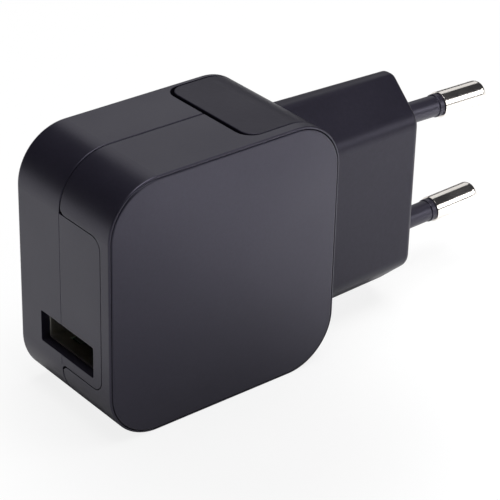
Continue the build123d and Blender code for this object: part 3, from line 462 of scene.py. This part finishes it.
# %% [markdown]
# ## Finishes inside
# The parts inside only show when the charger is opened, but each one has its own finish: laminate
# with a woven ground under green lacquer, sintered ferrite, yellow tape, shrunk sleeves, dipped
# lacquer and pressed card. They share one recipe, in which a noise of the right size mottles the
# colour between two shades.

# %% Inner finishes
# The part of the noise's range over which the colour changes.
MOTTLE_LOW, MOTTLE_HIGH = 0.35, 0.65
INNER_DRIFT = 0.05
INNER_PATCH = 3 * MM
INNER_EDGE = 0.08 * MM


def make_mottled(name, low, high, size, roughness, depth):
    """A finish that wanders between two colours over the given size in millimetres."""
    material, tree, shader = new_material(name)
    place = add_node(tree, "ShaderNodeTexCoord").outputs["Object"]
    noise_in = {"Vector": place, "Scale": 1 / (size * MM), "Detail": 4.0}
    noise = add_node(tree, "ShaderNodeTexNoise", noise_in).outputs["Fac"]
    span = {"Value": noise, "From Min": MOTTLE_LOW, "From Max": MOTTLE_HIGH}
    mask = add_node(tree, "ShaderNodeMapRange", span).outputs[0]
    tint = add_node(tree, "ShaderNodeMix", {"Factor": mask}, data_type="RGBA")
    tint.inputs["A"].default_value = (*low, 1)
    tint.inputs["B"].default_value = (*high, 1)
    tree.links.new(tint.outputs["Result"], shader.inputs["Base Color"])
    limits = {"Low": roughness - INNER_DRIFT, "High": roughness + INNER_DRIFT}
    patches = use_group(tree, handling, Patch_Size=INNER_PATCH, **limits)
    tree.links.new(patches["Value"], shader.inputs["Roughness"])
    edges = use_group(tree, soft_edges, Radius=INNER_EDGE)
    bump = {"Height": noise, "Normal": edges["Normal"], "Distance": depth * MM, "Strength": 1.0}
    tree.links.new(add_node(tree, "ShaderNodeBump", bump).outputs[0], shader.inputs["Normal"])
    return material


INNER_FINISHES = {
    # slot: darker colour, lighter colour, mottle size in mm, roughness, bump depth in mm
    "board_laminate": ((0.02, 0.10, 0.035), (0.03, 0.14, 0.05), 0.4, 0.35, 0.002),
    "ferrite": ((0.03, 0.03, 0.032), (0.06, 0.06, 0.062), 0.15, 0.55, 0.006),
    "winding_tape": ((0.60, 0.42, 0.04), (0.72, 0.52, 0.07), 1.2, 0.30, 0.004),
    "capacitor_sleeve": ((0.008, 0.012, 0.03), (0.012, 0.018, 0.045), 1.5, 0.28, 0.003),
    "resistor_lacquer": ((0.10, 0.22, 0.13), (0.14, 0.28, 0.17), 0.5, 0.30, 0.003),
    "capacitor_lacquer": ((0.02, 0.08, 0.32), (0.03, 0.12, 0.42), 0.6, 0.28, 0.004),
    "card_board": ((0.55, 0.49, 0.36), (0.68, 0.62, 0.48), 0.3, 0.75, 0.005),
    "live_insulation": ((0.16, 0.05, 0.02), (0.20, 0.07, 0.03), 0.8, 0.40, 0.002),
    "neutral_insulation": ((0.02, 0.07, 0.30), (0.03, 0.09, 0.36), 0.8, 0.40, 0.002),
}
mottled = [make_mottled(slot, *values) for slot, values in INNER_FINISHES.items()]
finishes = {material.name: material for material in plastics + metals + mottled}
print("finishes:", len(finishes))

# %% [markdown]
# ## Dress the CAD parts
# The record names the material slot of every part, so one loop gives each part its finish.

# %% Dress the parts
slots = {part["node"]: part["material_slot"] for part in frame["record"]["subparts"]}
for part_name, part in nodes.items():
    part.data.materials.clear()
    part.data.materials.append(finishes[slots[part_name]])
print("dressed:", len(nodes), "parts with", len(set(slots.values())), "finishes")

# %% [markdown]
# ## The front plate
# The front plate isn't flat: it swells towards its middle like a pillow, which carries the soft light
# from its upper right corner down to the dark lower left. Its shape follows a rule, so Geometry Nodes
# make it. A grid is rolled up: one way it goes round the plate, the other way it runs from the middle
# of the front over the rounded edge, down the side and in across the back. Modelling it from rings
# keeps the highlight smooth, where long thin triangles would break it up. Rolled up this way round,
# the grid faces inwards, so its faces are flipped once its seam is merged.

# %% Front plate
PLATE_EDGE = 0.25 * MM
PLATE_CORNER = 7.6 * MM
PLATE_SWELL = 0.6 * MM
ROUND_STEPS = 240
ACROSS_STEPS = 90
# How far along the grid the front, the edge and the side end; the back takes the rest.
FRONT_END, EDGE_END, SIDE_END = 0.6, 0.8, 0.9
# Radius of the circle whose points are moved onto the outline, as a share of the plate's width.
CIRCLE_SHARE = 0.62
MERGE_DISTANCE = 0.0005 * MM


def vector_node(tree, operation, *values):
    """Output of a Vector Math node on the given vectors."""
    return add_node(tree, "ShaderNodeVectorMath", dict(enumerate(values)), operation=operation).outputs[0]


def span_node(tree, value, start, end):
    """The value's share of the way from start to end, held between 0 and 1."""
    limits = {"Value": value, "From Min": start, "From Max": end}
    return add_node(tree, "ShaderNodeMapRange", limits, clamp=True).outputs[0]


def outline_point(tree, given, angle):
    """The circle's point at that angle, moved onto the outline of a rounded square."""
    reach = math_node(tree, "MULTIPLY", given["Width"], CIRCLE_SHARE)
    across = math_node(tree, "MULTIPLY", math_node(tree, "COSINE", angle), reach)
    up = math_node(tree, "MULTIPLY", math_node(tree, "SINE", angle), reach)
    far = add_node(tree, "ShaderNodeCombineXYZ", {"X": across, "Z": up}).outputs[0]
    half = math_node(tree, "SUBTRACT", math_node(tree, "MULTIPLY", given["Width"], 0.5), given["Corner"])
    limit = add_node(tree, "ShaderNodeCombineXYZ", {"X": half, "Z": half}).outputs[0]
    opposite = vector_node(tree, "MULTIPLY", limit, (-1, -1, -1))
    inner = vector_node(tree, "MINIMUM", vector_node(tree, "MAXIMUM", far, opposite), limit)
    outwards = vector_node(tree, "NORMALIZE", vector_node(tree, "SUBTRACT", far, inner))
    radius = {0: outwards, "Scale": given["Corner"]}
    corner = add_node(tree, "ShaderNodeVectorMath", radius, operation="SCALE").outputs[0]
    return vector_node(tree, "ADD", inner, corner)


def ring_size(tree, given, front, edge, back):
    """Size of a ring of the grid, as a share of the full outline."""
    half = math_node(tree, "MULTIPLY", given["Width"], 0.5)
    edge_share = math_node(tree, "DIVIDE", given["Edge"], half)
    flat_share = math_node(tree, "SUBTRACT", 1.0, edge_share)
    flat = math_node(tree, "MULTIPLY", front, flat_share)
    turned = math_node(tree, "MULTIPLY", math_node(tree, "SINE", edge), edge_share)
    full = math_node(tree, "ADD", flat, turned)
    return math_node(tree, "MULTIPLY", full, math_node(tree, "SUBTRACT", 1.0, back))


def ring_depth(tree, given, front, edge, side):
    """Depth of a ring: the swell falls with the square of the distance, the edge along an arc."""
    swell = math_node(tree, "MULTIPLY", math_node(tree, "MULTIPLY", front, front), given["Swell"])
    fall = math_node(tree, "SUBTRACT", 1.0, math_node(tree, "COSINE", edge))
    fall = math_node(tree, "MULTIPLY", fall, given["Edge"])
    depth = math_node(tree, "ADD", math_node(tree, "ADD", given["Front"], swell), fall)
    depths = {"Factor": side, "A": depth, "B": given["Back"]}
    return add_node(tree, "ShaderNodeMix", depths, data_type="FLOAT").outputs[0]


def roll_up(tree, given):
    """The grid's own places, from -0.5 to 0.5 both ways, turned into places on the plate."""
    place = add_node(tree, "GeometryNodeInputPosition").outputs[0]
    place = add_node(tree, "ShaderNodeSeparateXYZ", {0: place}).outputs
    angle = math_node(tree, "MULTIPLY", place["X"], 2 * math.pi)
    along = math_node(tree, "ADD", place["Y"], 0.5)
    front = span_node(tree, along, 0.0, FRONT_END)
    edge = math_node(tree, "MULTIPLY", span_node(tree, along, FRONT_END, EDGE_END), math.pi / 2)
    side = span_node(tree, along, EDGE_END, SIDE_END)
    back = span_node(tree, along, SIDE_END, 1.0)
    ring = {0: outline_point(tree, given, angle), "Scale": ring_size(tree, given, front, edge, back)}
    flat = add_node(tree, "ShaderNodeVectorMath", ring, operation="SCALE").outputs[0]
    depth = ring_depth(tree, given, front, edge, side)
    lift = add_node(tree, "ShaderNodeCombineXYZ", {"Y": depth}).outputs[0]
    return vector_node(tree, "ADD", vector_node(tree, "ADD", flat, lift), given["Middle"])


def build_plate_tree():
    """Geometry Nodes for the pillowed plate, and the identifiers of its named inputs."""
    tree = bpy.data.node_groups.new("pillowed_plate", "GeometryNodeTree")
    tree.interface.new_socket("Geometry", in_out="OUTPUT", socket_type="NodeSocketGeometry")
    kinds = dict.fromkeys(("Width", "Corner", "Swell", "Edge", "Front", "Back"), "NodeSocketFloat")
    kinds.update({"Middle": "NodeSocketVector", "Finish": "NodeSocketMaterial"})
    keys = {}
    for name, kind in kinds.items():
        keys[name] = tree.interface.new_socket(name, in_out="INPUT", socket_type=kind).identifier
    given = tree.nodes.new("NodeGroupInput").outputs

    steps = {"Size X": 1.0, "Size Y": 1.0, "Vertices X": ROUND_STEPS + 1, "Vertices Y": ACROSS_STEPS + 1}
    mesh = add_node(tree, "GeometryNodeMeshGrid", steps).outputs["Mesh"]
    rolled = {"Geometry": mesh, "Position": roll_up(tree, given)}
    mesh = add_node(tree, "GeometryNodeSetPosition", rolled).outputs[0]
    seam = {"Geometry": mesh, "Distance": MERGE_DISTANCE}
    mesh = add_node(tree, "GeometryNodeMergeByDistance", seam).outputs[0]
    mesh = add_node(tree, "GeometryNodeFlipFaces", {"Mesh": mesh}).outputs[0]
    mesh = add_node(tree, "GeometryNodeSetShadeSmooth", {"Geometry": mesh}).outputs[0]
    mesh = add_node(tree, "GeometryNodeRealizeInstances", {"Geometry": mesh}).outputs[0]
    painted = {"Geometry": mesh, "Material": given["Finish"]}
    mesh = add_node(tree, "GeometryNodeSetMaterial", painted).outputs[0]
    tree.links.new(mesh, tree.nodes.new("NodeGroupOutput").inputs[0])
    return tree, keys


def bake(name, tree, keys, values):
    """Run a node tree with the given inputs and keep the result as a plain mesh object."""
    holder = bpy.data.objects.new(name, bpy.data.meshes.new(name))
    bpy.context.scene.collection.objects.link(holder)
    modifier = holder.modifiers.new("nodes", "NODES")
    modifier.node_group = tree
    for key, value in values.items():
        modifier[keys[key]] = value
    bpy.context.view_layer.update()
    ready = holder.evaluated_get(bpy.context.evaluated_depsgraph_get())
    made = bpy.data.meshes.new_from_object(ready)
    holder.modifiers.clear()
    holder.data = made
    return holder


plate_low, plate_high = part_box("face_plate")
plate_tree, plate_keys = build_plate_tree()
front_plate = bake("front_plate", plate_tree, plate_keys, {
    "Width": plate_high[0] - plate_low[0],
    "Corner": PLATE_CORNER,
    "Swell": PLATE_SWELL,
    "Edge": PLATE_EDGE,
    "Front": plate_low[1],
    "Back": plate_high[1],
    "Middle": ((plate_low[0] + plate_high[0]) / 2, 0.0, (plate_low[2] + plate_high[2]) / 2),
    "Finish": finishes["face_plastic"],
})
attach(front_plate, "charger_body")
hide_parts("face_plate")
print("front plate:", len(front_plate.data.polygons), "faces")
